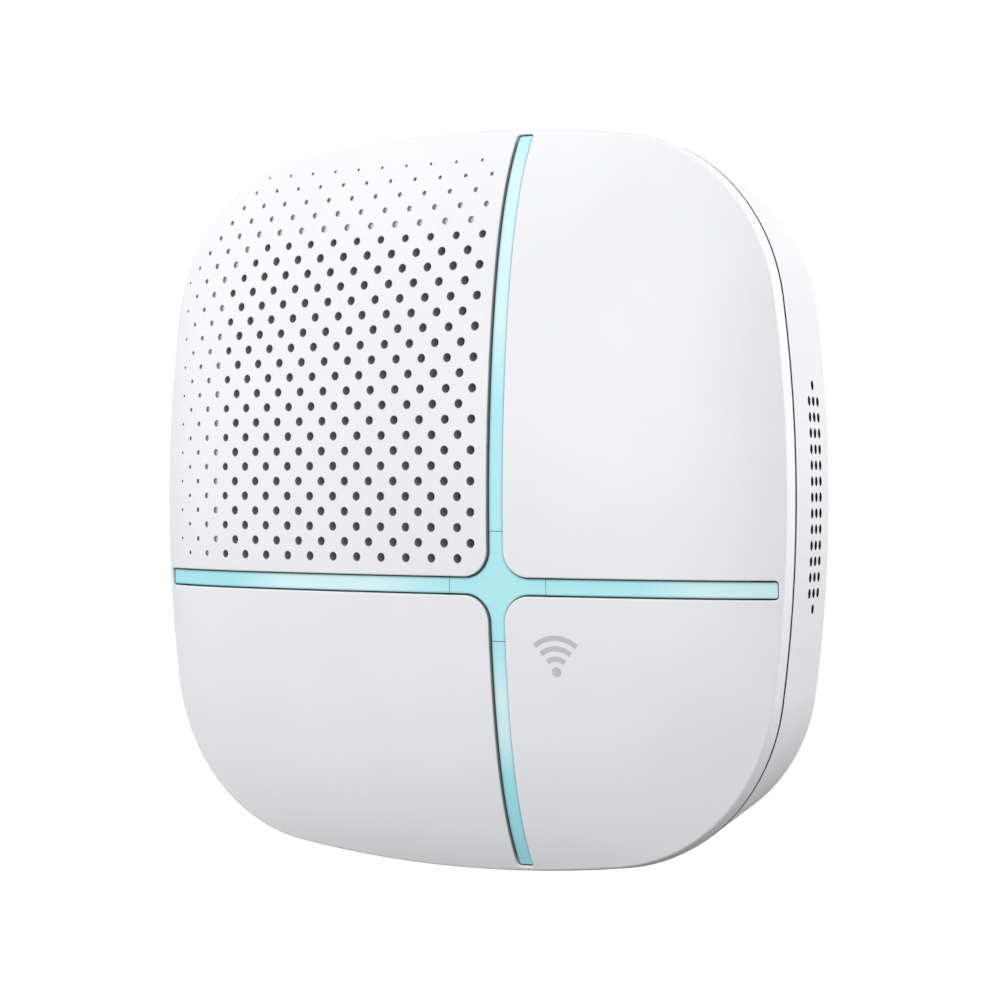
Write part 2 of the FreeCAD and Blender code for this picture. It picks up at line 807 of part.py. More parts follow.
def screws(label, places, radius, head_radius, head, length, seat, backward=True):
    """Pan-head screws; the seat is the depth where the head meets its boss."""
    items = []
    for number, (sx, sz) in enumerate(places):
        shank_start = f"{seat} - {length}" if backward else seat
        head_start = seat if backward else f"{seat} - {head}"
        slot_start = f"{seat} + {head} - 0.5" if backward else f"{seat} - {head} - 0.1"
        shank = rod(f"{label}_shank_{number}", radius, length, sx, shank_start, sz)
        cap = rod(f"{label}_head_{number}", head_radius, head, sx, head_start, sz)
        whole = fuse(f"{label}_whole_{number}", [shank, cap])
        drives = [block(f"{label}_drive_{number}", head_radius, "0.6", "0.4", sx, slot_start, sz),
                  block(f"{label}_cross_{number}", "0.4", "0.6", head_radius, sx, slot_start, sz)]
        items.append(cut(f"{label}_{number}", whole, drives))
    return keep(group(label, items), label)


screws("case_screws", SCREW_PLACES, "screw_radius", "2.5", "1.8", "case_screw_length",
       "case_screw_seat", backward=False)
screws("board_screws", BOARD_PLACES, "screw_radius", "2.4", "1.5", "6",
       "board_back + board_thick")
screws("light_board_screws", LIGHT_PLACES, "0.7", "1.5", "1", "4", "light_board_front")
screws("speaker_screws", EARS, "0.7", "1.5", "1", "4", "speaker_front")

# ----------------------------------------------------------------- light board

board = new_body("led_board")
sketch = new_sketch(board, "led_board_outline", "XZ_Plane",
                    "light_board_front - light_board_thick")
side = size("light_board_side") / 2
clip = 2.0
draw_loop(sketch, [(clip - side, -side), (side - clip, -side), (side, clip - side),
                   (side, side - clip), (side - clip, side), (clip - side, side),
                   (-side, side - clip), (-side, clip - side)])
for dx in (1, -1):
    for dz in (1, -1):
        draw_circle(sketch, dx * LIGHT_POST, dz * LIGHT_POST, 0.8, "0.8")
pad(board, "led_board_pad", sketch, "light_board_thick")
bind(board, "Placement.Base.x", "cross_x")
bind(board, "Placement.Base.z", "cross_z")
keep(board, "led_board")

led_offset = ARM_START + LEG_LENGTH / 2
LED_SIZE = ("led_side", "led_height", "led_side")
leds = []
for number, (angle, _) in enumerate(ARMS.values()):
    dx = led_offset * math.cos(math.radians(angle))
    dz = led_offset * math.sin(math.radians(angle))
    leds.append(block(f"led_arm_{number}", *LED_SIZE, f"cross_x + {dx:.3f}",
                      "light_board_front", f"cross_z + {dz:.3f}"))
HUB_LED = 6.2
for number, (dx, dz) in enumerate([(1, 0), (0, 1), (-1, 0), (0, -1)]):
    leds.append(block(f"led_hub_{number}", *LED_SIZE, f"cross_x + {dx * HUB_LED}",
                      "light_board_front", f"cross_z + {dz * HUB_LED}"))
keep(group("leds", leds), "leds")

switch_box = block("key_switch_box", "6", "2", "6", "cross_x", "light_board_front", "cross_z")
switch_bore = rod("key_switch_bore", "key_post_radius + 0.1", "2", "cross_x",
                  "light_board_front + 0.8", "cross_z")
keep(cut("key_switch", switch_box, [switch_bore]), "key_switch")
keep(rod("key_plunger", "key_post_radius - 0.1", "key_post_end - light_board_front - 1.5",
         "cross_x", "light_board_front + 1.5", "cross_z"), "key_plunger")

baffle_outer = block("baffle_outer", "34.4", "1.5", "34.4", "cross_x", "light_board_front",
                     "cross_z")
baffle_inner = block("baffle_inner", "32", "4", "32", "cross_x", "light_board_front - 1",
                     "cross_z")
keep(cut("light_baffle", baffle_outer, [baffle_inner]), "light_baffle")

# --------------------------------------------------------------------- speaker

SPEAKER = ("speaker_x", "speaker_front", "speaker_z")


def speaker_piece(label, profile):
    """Profile points are (radius, distance behind the speaker's front)."""
    body = revolved(label, [(r, -behind) for r, behind in profile], *SPEAKER)
    return keep(body, label)


basket_profile = [(22.6, 0), (28.5, 0), (28.5, -1.2), (23.6, -1.2), (16.4, -10.6),
                  (8.4, -10.6), (8.4, -9.4), (15.6, -9.4), (22.6, -0.3)]
basket_bowl = revolved("basket_bowl", basket_profile, *SPEAKER)
basket_holes = [rod(f"basket_hole_{number}", "0.9", "3", x, "speaker_front - 2", z)
                for number, (x, z) in enumerate(EARS)]
keep(cut("speaker_basket", basket_bowl, basket_holes), "speaker_basket")
speaker_piece("speaker_surround", [(21.3, -0.1), (21.5, -1), (22.2, -1.5), (23, -1.3),
                                   (23.6, -0.5), (24.2, -0.4), (24.2, 0), (23.1, 0),
                                   (22.8, -0.8), (22.2, -1.1), (21.8, -0.7), (21.7, -0.1)])
speaker_piece("speaker_cone", [(20.8, 0.1), (20.8, 0.5), (8, 6.4), (7.2, 6.4), (7.2, 6),
                               (7.9, 6), (20.2, 0.1)])
speaker_piece("dust_cap", [(0, 4.2), (3, 4.4), (6, 5.1), (7.5, 6), (7.1, 6), (5.8, 5.4),
                           (3, 4.7), (0, 4.5)])
speaker_piece("voice_coil", [(6.7, 6), (7.2, 6), (7.2, 13.2), (6.7, 13.2)])
speaker_piece("speaker_spider", [(7.7, 8), (9, 8.3), (11, 7.9), (13, 8.3), (15.6, 8),
                                 (15.6, 8.4), (13, 8.7), (11, 8.3), (9, 8.7), (7.7, 8.4)])
speaker_piece("speaker_top_plate", [(7.7, 10.6), (13.5, 10.6), (13.5, 12.4), (7.7, 12.4)])
speaker_piece("speaker_magnet", [(8.6, 12.4), (14.2, 12.4), (14.2, 16.4), (8.6, 16.4)])
speaker_piece("speaker_yoke", [(0, 10.2), (6.1, 10.2), (6.1, 16.4), (13.5, 16.4), (13.5, 18),
                               (0, 18)])
gasket_ring = revolved("speaker_gasket_ring", [(24.9, 0), (28.2, 0), (28.2, 1), (24.9, 1)], *SPEAKER)
gasket_notches = [rod(f"gasket_notch_{number}", "1.8", "3", x, "speaker_front - 1", z)
                  for number, (x, z) in enumerate(EARS)]
keep(cut("speaker_gasket", gasket_ring, gasket_notches), "speaker_gasket")
LEAD_X = 15.1
leads = [rod(f"lead_{number}", "0.5", "speaker_front - 10.6 - board_back - board_thick - 1.4",
             f"speaker_x + {LEAD_X}", "board_back + board_thick + 1.4", f"speaker_z + {dz}")
         for number, dz in enumerate((-0.7, 0.7))]
keep(group("speaker_lead", leads), "speaker_lead")
keep(block("speaker_socket", "3", "1.4", "5", f"speaker_x + {LEAD_X}",
           "board_back + board_thick", "speaker_z"), "speaker_socket")

# ------------------------------------------------------------------ main board

main_board = new_body("main_board")
sketch = new_sketch(main_board, "main_board_outline", "XZ_Plane", "board_back")
wide, low, high = size("board_half"), size("board_bottom"), size("board_top")
NOTCH = 5.0
draw_loop(sketch, [(-wide, low), (wide, low), (wide, high - NOTCH), (wide - NOTCH, high),
                   (NOTCH - wide, high), (-wide, high - NOTCH)])
pad(main_board, "main_board_pad", sketch, "board_thick")
sketch = new_sketch(main_board, "main_board_holes", "XZ_Plane", "board_back")
for sx in (1, -1):
    for alias in ("board_screw_low", "board_screw_high"):
        draw_circle(sketch, sx * size("board_screw_x"), size(alias), 1.4, "screw_radius + 0.3")
pocket(main_board, "main_board_pocket", sketch, "board_thick", backward=True)
keep(main_board, "main_board")

BOARD_FRONT = "board_back + board_thick"
SOC_X = 26.0
SOC_Z = 26.0
keep(block("processor", "16", "1.6", "16", SOC_X, BOARD_FRONT, SOC_Z), "processor")
keep(block("thermal_pad", "15", "0.8", "15", SOC_X, f"{BOARD_FRONT} + 1.6", SOC_Z),
     "thermal_pad")

SINK_WIDE = 44.0
SINK_TALL = 38.0
FINS = 9
sink_base = block("sink_base", SINK_WIDE, "2", SINK_TALL, SOC_X, f"{BOARD_FRONT} + 2.4", SOC_Z)
fins = []
for number in range(FINS):
    x = SOC_X - SINK_WIDE / 2 + 0.6 + number * (SINK_WIDE - 1.2) / (FINS - 1)
    fins.append(block(f"fin_{number}", "1.2", "5.2", SINK_TALL, x, f"{BOARD_FRONT} + 4.2", SOC_Z))
keep(fuse("heatsink", [sink_base] + fins), "heatsink")

memory = [block(f"memory_{n}", "10", "1.2", "12", "-44", BOARD_FRONT, z)
          for n, z in enumerate((35, 20))]
keep(group("memory_chips", memory), "memory_chips")

cans = []
for number, (x, z) in enumerate([(-39.5, 4), (40, -3)]):
    can = block(f"can_{number}", "22", "2.6", "18", x, BOARD_FRONT, z)
    hollow = block(f"can_hollow_{number}", "21.4", "2.3", "17.4", x, BOARD_FRONT, z)
    cans.append(cut(f"radio_can_{number}", can, [hollow]))
keep(group("radio_shields", cans), "radio_shields")
radios = [block(f"radio_{n}", "9", "1", "9", x, BOARD_FRONT, z)
          for n, (x, z) in enumerate([(-39.5, 4), (40, -3)])]
keep(group("radio_chips", radios), "radio_chips")
magnetics = [block(f"magnetics_{n}", "13", "5.2", "9", x, BOARD_FRONT, "-10")
             for n, x in enumerate(("jack_one_x", "jack_two_x"))]
keep(group("lan_transformers", magnetics), "lan_transformers")
capacitors = [rod(f"capacitor_{n}", "3", "7", x, BOARD_FRONT, "-19")
              for n, x in enumerate((11, 19))]
keep(group("power_capacitors", capacitors), "power_capacitors")


def antenna(label, x, z, upright):
    """Stamped inverted-F strip that stands on two feet at the board's edge."""
    long, thick = "32", "0.5"
    wide, tall = (thick, long) if upright else (long, thick)
    bar = block(label + "_bar", wide, "5", tall, x, f"{BOARD_FRONT} + 6", z)
    feet = []
    for mark, shift in (("feed", -14.5), ("ground", -8.5)):
        fx, fz = (x, z + shift) if upright else (x + shift, z)
        wide, tall = (thick, "2") if upright else ("2", thick)
        feet.append(block(f"{label}_{mark}", wide, "6.5", tall, fx, BOARD_FRONT, fz))
    keep(fuse(label, [bar] + feet), label)


antenna("antenna_top_left", -24.0, 55.4, False)
antenna("antenna_top_right", 26.0, 55.4, False)
antenna("antenna_left", -51.4, 8.0, True)
antenna("antenna_right", 51.4, 8.0, True)

# ----------------------------------------------------------------- ports, reset


def ethernet_jack(label, x):
    """Socket body with its plug cavity, latch slot and row of contacts."""
    low = "jack_mouth"
    mid = f"{low} + jack_long / 2"
    shell = block(label + "_shell", "jack_width", "jack_deep", "jack_long", x, BOARD_FRONT, mid)
    cavity = block(label + "_cavity", "11.8", "6.8", "14", x, f"{BOARD_FRONT} + 1.2",
                   f"{low} + 6.9")
    latch = block(label + "_latch", "6.2", "2.4", "14", x, f"{BOARD_FRONT} + 7.9",
                  f"{low} + 6.9")
    body = cut(label + "_body", shell, [cavity, latch])
    contacts = [block(f"{label}_contact_{n}", "0.4", "1", "9", f"{x} + {1.02 * (n - 3.5):.2f}",
                      f"{BOARD_FRONT} + 1.1", f"{low} + 9")
                for n in range(8)]
    keep(fuse(label, [body] + contacts), label)


ethernet_jack("ethernet_jack_one", "jack_one_x")
ethernet_jack("ethernet_jack_two", "jack_two_x")

power_shell = block("power_shell", "9.6", "10.6", "14", "power_x", BOARD_FRONT,
                    "jack_mouth + 7")
power_bore = post("power_bore", "3.15", "10", "power_x", f"{BOARD_FRONT} + 5.4", "jack_mouth - 0.5")
power_body = cut("power_body", power_shell, [power_bore])
power_pin = post("power_pin", "1", "9.5", "power_x", f"{BOARD_FRONT} + 5.4", "jack_mouth + 0.8")
keep(fuse("power_jack", [power_body, power_pin]), "power_jack")

RESET_DEPTH = f"{BOARD_FRONT} + 4"
reset_box = block("reset_box", "6", "6.5", "5", "reset_x", BOARD_FRONT, "bay_top + 8")
reset_bore = post("reset_bore", "1.15", "2.4", "reset_x", RESET_DEPTH, "bay_top + 5")
keep(cut("reset_switch", reset_box, [reset_bore]), "reset_switch")
reset_stem = post("reset_stem", "1.6", "4", "reset_x", RESET_DEPTH, "bay_top - 0.6")
reset_collar = post("reset_collar", "2.4", "1", "reset_x", RESET_DEPTH, "bay_top + 2.1")
reset_tip = post("reset_tip", "1", "3.2", "reset_x", RESET_DEPTH, "bay_top + 3")
keep(fuse("reset_button", [reset_stem, reset_collar, reset_tip]), "reset_button")

# ---------------------------------------------------- ribbon and speaker lead

RIBBON_X = CROSS_X + 12.5


def ribbon():
    """Flat ribbon from the light board back to its socket on the main board."""
    front = size("light_board_front") - size("light_board_thick")
    back = size("board_back") + size("board_thick") + 1.4
    half, thick, bend = 3.0, 0.3, 2.0
    x = RIBBON_X
    start = Vector(x - 4, -front + 0.05, 0)
    turn = Vector(x, -front + 0.05, 0)
    middle = Vector(x + bend * math.sin(math.pi / 4), -front + 0.05 + bend * (1 - math.sqrt(0.5)), 0)
    down = Vector(x + bend, -front + 0.05 + bend, 0)
    foot = Vector(x + bend, -back, 0)
    path = Part.Wire([Part.makeLine(start, turn), Part.Arc(turn, middle, down).toShape(),
                      Part.makeLine(down, foot)])
    corner = [Vector(start.x, start.y, -half), Vector(start.x, start.y + thick, -half),
              Vector(start.x, start.y + thick, half), Vector(start.x, start.y, half)]
    profile = Part.makePolygon(corner + corner[:1])
    shape = path.makePipeShell([profile], True, True)
    shape.translate(Vector(0, 0, CROSS_Z))
    return shape


keep(solid("led_ribbon", ribbon()), "led_ribbon")
keep(block("ribbon_socket", "3", "1.4", "8", RIBBON_X + 1.85, BOARD_FRONT, "cross_z"),
     "ribbon_socket")

# ----------------------------------------------------------------- wall bracket

bracket = new_body("wall_bracket")
sketch = new_sketch(bracket, "bracket_outline", "XZ_Plane")
half, low, high = size("bracket_half"), size("bracket_low"), size("bracket_high")
ROUND = 6.0


def rounded_loop(sketch, left, right, bottom, top, radius):
    """Rectangle with four round corners."""
    for cx, cz, start in ((right - radius, top - radius, 0), (left + radius, top - radius, 90),
                          (left + radius, bottom + radius, 180),
                          (right - radius, bottom + radius, 270)):
        circle = Part.Circle(Vector(cx, cz, 0), Vector(0, 0, 1), radius)
        sketch.addGeometry(Part.ArcOfCircle(circle, math.radians(start),
                                            math.radians(start + 90)), False)
    for a, b in (((right, bottom + radius), (right, top - radius)),
                 ((right - radius, top), (left + radius, top)),
                 ((left, top - radius), (left, bottom + radius)),
                 ((left + radius, bottom), (right - radius, bottom))):
        sketch.addGeometry(Part.LineSegment(Vector(*a, 0), Vector(*b, 0)), False)


rounded_loop(sketch, -half, half, low, high, ROUND)
pad(bracket, "bracket_plate", sketch, "bracket_thick")
STUDS = [(sx * size("stud_x"), size(alias)) for sx in (1, -1) for alias in ("stud_low", "stud_high")]
sketch = new_sketch(bracket, "stud_places", "XZ_Plane", "bracket_thick - 0.5")
for x, z in STUDS:
    draw_circle(sketch, x, z, size("stud_radius"), "stud_radius")
pad(bracket, "studs", sketch, "recess_depth + floor_thick + 0.3 - bracket_thick + 0.5")
sketch = new_sketch(bracket, "head_places", "XZ_Plane", "recess_depth + floor_thick + 0.3")
for x, z in STUDS:
    draw_circle(sketch, x, z, size("stud_head"), "stud_head")
pad(bracket, "stud_heads", sketch, "1.4")
sketch = new_sketch(bracket, "screw_places", "XZ_Plane")
WALL_HOLES = [(sx * size("wall_hole_x"), size(alias)) for sx in (1, -1)
              for alias in ("wall_hole_low", "wall_hole_high")]
for x, z in WALL_HOLES:
    draw_circle(sketch, x, z, size("wall_hole_radius"), "wall_hole_radius")
pocket(bracket, "screw_holes", sketch, "bracket_thick + 1", backward=True)
sketch = new_sketch(bracket, "head_seats", "XZ_Plane", "bracket_thick - 1.2")
for x, z in WALL_HOLES:
    draw_circle(sketch, x, z, 4.5, "2 * wall_hole_radius")
pocket(bracket, "screw_seats", sketch, "2", backward=True)
keep(bracket, "wall_bracket")

# ---------------------------------------------------------------- check, write

doc.recompute()
for item in doc.Objects:
    if "Invalid" in item.State or "Error" in item.State:
        raise RuntimeError(f"{item.Label} failed: {item.State}")
os.makedirs("parts", exist_ok=True)
for item in parts:
    shape = item.Shape
    if shape.isNull() or not shape.isValid():
        raise RuntimeError(f"{item.Label} has no valid shape")
    shape.exportStep(f"parts/{item.Label}.step")
    print(f"{item.Label}: {len(shape.Solids)} solids, {shape.Volume:.1f} mm3")
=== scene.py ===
"""Looks of the wall-mounted mesh wifi node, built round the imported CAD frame."""
import json
import math

import bmesh
import bpy
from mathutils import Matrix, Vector
from mathutils.bvhtree import BVHTree


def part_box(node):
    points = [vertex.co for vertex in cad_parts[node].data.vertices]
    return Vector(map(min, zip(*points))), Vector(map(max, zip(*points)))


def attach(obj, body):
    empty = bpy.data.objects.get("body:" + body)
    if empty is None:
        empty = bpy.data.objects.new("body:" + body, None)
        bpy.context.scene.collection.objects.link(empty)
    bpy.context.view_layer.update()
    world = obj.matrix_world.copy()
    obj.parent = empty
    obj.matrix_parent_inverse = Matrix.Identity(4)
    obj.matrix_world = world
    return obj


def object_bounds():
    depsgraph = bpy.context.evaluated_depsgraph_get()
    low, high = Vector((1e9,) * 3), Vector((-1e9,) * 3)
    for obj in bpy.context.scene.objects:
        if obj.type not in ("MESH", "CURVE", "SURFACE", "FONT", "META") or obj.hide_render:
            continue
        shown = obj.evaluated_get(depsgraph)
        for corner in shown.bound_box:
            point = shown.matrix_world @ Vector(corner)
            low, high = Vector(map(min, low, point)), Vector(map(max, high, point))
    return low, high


MM = 0.001
FAR = 1.0                         # a metre, beyond every face of the node

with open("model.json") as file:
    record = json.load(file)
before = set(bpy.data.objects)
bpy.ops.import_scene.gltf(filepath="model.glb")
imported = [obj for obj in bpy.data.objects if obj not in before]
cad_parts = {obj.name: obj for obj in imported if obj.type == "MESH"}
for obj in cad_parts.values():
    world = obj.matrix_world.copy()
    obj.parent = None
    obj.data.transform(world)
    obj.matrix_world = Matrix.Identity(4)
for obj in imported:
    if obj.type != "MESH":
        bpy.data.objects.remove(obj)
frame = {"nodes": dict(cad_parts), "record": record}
nodes = frame["nodes"]
cad_low, cad_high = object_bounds()
scene = bpy.context.scene
scene.view_settings.view_transform = "Standard"


def middle(node):
    low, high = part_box(node)
    return (low + high) / 2


seam = middle("seam_gasket")
seam_low, seam_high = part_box("seam_gasket")
hub_centre = middle("light_hub")


# ---------------------------------------------------------------- camera

CAMERA_AZIMUTH = 32.118
CAMERA_ELEVATION = 0.399
CAMERA_DISTANCE = 523.2 * MM
CAMERA_LENS = 94.92
AIM_RIGHT = 8.54 * MM
AIM_UP = 0.05 * MM


def towards(azimuth, elevation):
    """Unit direction from the node, in degrees right of its front and up from level."""
    a, e = math.radians(azimuth), math.radians(elevation)
    return Vector((math.sin(a) * math.cos(e), -math.cos(a) * math.cos(e), math.sin(e)))


def add_aimed(name, data, target, direction, distance):
    """A camera or lamp some distance out from the target, looking back at it."""
    item = bpy.data.objects.new(name, data)
    item.location = target + direction * distance
    item.rotation_mode = "QUATERNION"
    item.rotation_quaternion = (-direction).to_track_quat("-Z", "Y")
    scene.collection.objects.link(item)
    return item


def add_camera():
    """Long lens, to the right of the node and level with it."""
    data = bpy.data.cameras.new("camera")
    data.lens = CAMERA_LENS
    data.sensor_width = 36.0
    data.clip_start = 0.01
    data.clip_end = 50.0
    scene.camera = add_aimed("camera", data, Vector((AIM_RIGHT, seam.y, AIM_UP)),
                             towards(CAMERA_AZIMUTH, CAMERA_ELEVATION), CAMERA_DISTANCE)


add_camera()


# ---------------------------------------------------------- shader helpers

def new_material(name):
    material = bpy.data.materials.new(name)
    material.use_nodes = True
    tree = material.node_tree
    return material, tree, tree.nodes["Principled BSDF"]


def add_node(tree, kind, **values):
    """A shader node with some of its inputs or properties set."""
    node = tree.nodes.new(kind)
    for key, value in values.items():
        if key in node.inputs:
            node.inputs[key].default_value = value
        else:
            setattr(node, key, value)
    return node


def object_coords(tree):
    return add_node(tree, "ShaderNodeTexCoord").outputs["Object"]


def noise(tree, scale, detail=3.0):
    node = add_node(tree, "ShaderNodeTexNoise", Scale=scale, Detail=detail, Roughness=0.55)
    tree.links.new(object_coords(tree), node.inputs["Vector"])
    return node.outputs["Fac"]


def axes(tree, source):
    """The X, Y and Z outputs of a vector."""
    node = add_node(tree, "ShaderNodeSeparateXYZ")
    tree.links.new(source, node.inputs["Vector"])
    return node.outputs


def face_normal(tree):
    return axes(tree, add_node(tree, "ShaderNodeNewGeometry").outputs["True Normal"])


def maths(tree, operation, *values):
    """One sum on numbers or other nodes' outputs."""
    node = add_node(tree, "ShaderNodeMath", operation=operation)
    for place, value in zip(node.inputs, values):
        if isinstance(value, float):
            place.default_value = value
        else:
            tree.links.new(value, place)
    return node.outputs["Value"]


def times(tree, *sources):
    """Product of several values."""
    total = sources[0]
    for source in sources[1:]:
        total = maths(tree, "MULTIPLY", total, source)
    return total


def window(tree, source, low, high):
    """1 where a value lies between two limits, otherwise 0."""
    return times(tree, maths(tree, "GREATER_THAN", source, low),
                 maths(tree, "LESS_THAN", source, high))


def between(tree, source, low, high, at_low=0.0, at_high=1.0):
    """One number at the low limit and another at the high one, straight between them."""
    node = add_node(tree, "ShaderNodeMapRange")
    for key, value in (("From Min", low), ("From Max", high),
                       ("To Min", at_low), ("To Max", at_high)):
        node.inputs[key].default_value = value
    tree.links.new(source, node.inputs["Value"])
    return node.outputs["Result"]


def mixed(tree, factor, first, second):
    """Blend of two colours, each a fixed colour or another node's output."""
    node = add_node(tree, "ShaderNodeMix", data_type="RGBA")
    tree.links.new(factor, node.inputs["Factor"])
    for slot, colour in ((6, first), (7, second)):        # the two colour inputs
        if isinstance(colour, tuple):
            node.inputs[slot].default_value = (*colour, 1.0)
        else:
            tree.links.new(colour, node.inputs[slot])
    return node.outputs[2]


def ramp(tree, source, stops):
    """Colour ramp from (position, colour) stops."""
    node = tree.nodes.new("ShaderNodeValToRGB")
    band = node.color_ramp
    while len(band.elements) < len(stops):
        band.elements.new(0.5)
    for element, (position, colour) in zip(band.elements, stops):
        element.position = position
        element.color = (*colour, 1.0)
    tree.links.new(source, node.inputs["Fac"])
    return node.outputs["Color"]


def shade(colour, factor):
    return tuple(channel * factor for channel in colour)


def set_colour(tree, shader, colours):
    tree.links.new(colours, shader.inputs["Base Color"])


def set_gloss(tree, shader, source, roughness, swing):
    """Roughness that drifts either side of its mean."""
    rough = between(tree, source, 0.0, 1.0, roughness - swing, roughness + swing)
    tree.links.new(rough, shader.inputs["Roughness"])


def set_bump(tree, shader, source, strength, height):
    bump = add_node(tree, "ShaderNodeBump", Strength=strength, Distance=height)
    tree.links.new(source, bump.inputs["Height"])
    tree.links.new(bump.outputs["Normal"], shader.inputs["Normal"])


# --------------------------------------------------------- plain materials

CLOUD_SCALE = 35.0
GLOSS_SCALE = 160.0
GRAIN_SCALE = 9000.0
GRAIN_HEIGHT = 0.05 * MM
STREAK_SCALE = 600.0
THREAD_HEIGHT = 0.1 * MM


def plastic(name, colour, roughness, depth=0.02, mottling=0.03):
    """Moulded plastic: faint colour drift, uneven gloss and a fine spark-eroded grain."""
    material, tree, shader = new_material(name)
    set_colour(tree, shader, ramp(tree, noise(tree, CLOUD_SCALE, 2.0),
                                  [(0.3, shade(colour, 1 - mottling)), (0.7, colour)]))
    set_gloss(tree, shader, noise(tree, GLOSS_SCALE, 4.0), roughness, 0.05)
    set_bump(tree, shader, noise(tree, GRAIN_SCALE, 2.0), depth, GRAIN_HEIGHT)
    return material


def metal(name, colour, roughness, grain=(1.0, 1.0, 1.0)):
    """Plated or drawn metal with a streaky gloss."""
    material, tree, shader = new_material(name)
    shader.inputs["Metallic"].default_value = 1.0
    mapping = add_node(tree, "ShaderNodeMapping", Scale=grain)
    tree.links.new(object_coords(tree), mapping.inputs["Vector"])
    streaks = add_node(tree, "ShaderNodeTexNoise", Scale=STREAK_SCALE, Detail=4.0)
    tree.links.new(mapping.outputs["Vector"], streaks.inputs["Vector"])
    set_colour(tree, shader, ramp(tree, streaks.outputs["Fac"],
                                  [(0.2, shade(colour, 0.85)), (0.8, colour)]))
    set_gloss(tree, shader, streaks.outputs["Fac"], roughness, 0.08)
    return material


def woven(name, colour, thread):
    """Fine woven cloth of threads this far apart."""
    material, tree, shader = new_material(name)
    coords = object_coords(tree)
    waves = []
    for direction in ("X", "Z"):
        wave = add_node(tree, "ShaderNodeTexWave", bands_direction=direction,
                        Scale=1.0 / (thread * 20))
        tree.links.new(coords, wave.inputs["Vector"])
        waves.append(wave.outputs["Fac"])
    weave = times(tree, *waves)
    set_colour(tree, shader, ramp(tree, weave, [(0.0, shade(colour, 0.3)), (0.8, colour)]))
    shader.inputs["Roughness"].default_value = 0.9
    set_bump(tree, shader, weave, 0.6, THREAD_HEIGHT)
    return material


# --------------------------------------------- white shell with painted shade in its hollows

# painted shade: greys put on the white shell where real shade falls in its holes, grooves, vents
# and seam
HOLE_PAINTED_SHADE = (0.42, 0.42, 0.43)
GROOVE_PAINTED_SHADE = (0.33, 0.33, 0.34)
VENT_PAINTED_SHADE = (0.05, 0.05, 0.053)
SEAM_PAINTED_SHADE = (0.03, 0.03, 0.032)
DOME_START = -29.3 * MM           # holes and grooves lie in front of this
FIELD_MARGIN = 3 * MM             # from the hub's middle to the field of holes
VENT_SIDE = 62 * MM
VENT_BACK, VENT_FRONT = -6.0 * MM, -15.5 * MM
VENT_HALF = 30 * MM
LIP_SLACK = 0.05 * MM
WALL_TILT = 0.35                  # a wall's normal has less than this along the depth
VENT_TILT = 0.3
LIP_TILT = 0.8                    # a lip's normal has more than this along the depth


def shell(name, colour, roughness):
    """White plastic with painted shade inside its grille holes, light grooves, side vents and
    seam.
    """
    material = plastic(name, colour, roughness)
    tree = material.node_tree
    shader = tree.nodes["Principled BSDF"]
    place = axes(tree, object_coords(tree))
    facing = face_normal(tree)
    # painted shade mask: faces turned sideways in front of the dome start, the inner faces of
    # the grooves and holes
    wall_shade_mask = times(tree,
                  window(tree, place["Y"], -FAR, DOME_START),
                  window(tree, facing["Y"], -WALL_TILT, WALL_TILT))
    # painted shade mask for the hole faces in the grille field above and left of the hub
    field = times(tree, wall_shade_mask,
                  window(tree, place["X"], -FAR, hub_centre.x - FIELD_MARGIN),
                  window(tree, place["Z"], hub_centre.z + FIELD_MARGIN, FAR))
    # painted shade mask for the inner faces of the side vents
    vents = times(tree,
                  window(tree, maths(tree, "ABSOLUTE", place["X"]), VENT_SIDE, FAR),
                  window(tree, place["Y"], VENT_FRONT, VENT_BACK),
                  window(tree, place["Z"], -VENT_HALF, VENT_HALF),
                  window(tree, facing["X"], -VENT_TILT, VENT_TILT))
    # painted shade mask for the lip faces in the seam gap
    seam_lip_shade_mask = times(tree,
                 window(tree, place["Y"], seam_low.y - LIP_SLACK, seam_high.y + LIP_SLACK),
                 window(tree, maths(tree, "ABSOLUTE", facing["Y"]), LIP_TILT, 2.0))
    colours = shader.inputs["Base Color"].links[0].from_socket
    # mix each painted shade into the white base colour
    for mask, dark in ((wall_shade_mask, GROOVE_PAINTED_SHADE), (field, HOLE_PAINTED_SHADE), (vents, VENT_PAINTED_SHADE),
                       (seam_lip_shade_mask, SEAM_PAINTED_SHADE)):
        colours = mixed(tree, mask, colours, dark)
    set_colour(tree, shader, colours)
    return material


# ------------------------------------------------------------- light guides

GLOW = (0.375, 0.725, 0.785)
GLOW_PALE = (0.57, 0.79, 0.82)
GLOW_DEEP = (0.32, 0.69, 0.75)
GLOW_END = (0.29, 0.63, 0.70)
GLOW_STRENGTH = 0.16
# painted shade: dark teals for the guide's side faces, its outline and its hub seam faces
GUIDE_SIDE_PAINTED_SHADE = (0.07, 0.115, 0.125)
GUIDE_EDGE_PAINTED_SHADE = (0.10, 0.27, 0.30)
GUIDE_SEAM_PAINTED_SHADE = (0.25, 0.5, 0.55)
GUIDE_ROUGHNESS = 0.45
HOLLOW_AT = 7.05 * MM             # centre of a hollow corner, right of and above the hub's
HOLLOW_RADIUS = 5.5 * MM
ARM_SPAN = 100 * MM
# painted edge shade: none this far inside the outline, full this far outside it
EDGE_INNER, EDGE_OUTER = 0.5 * MM, -0.3 * MM
OUTLINE_SLACK = 0.03 * MM
SEAM_FACE_INSET = 0.3 * MM
FACE_FROM, FACE_FULL = -0.4, -0.7     # a face counts as front between these tilts
FROST_SCALE = 5000.0

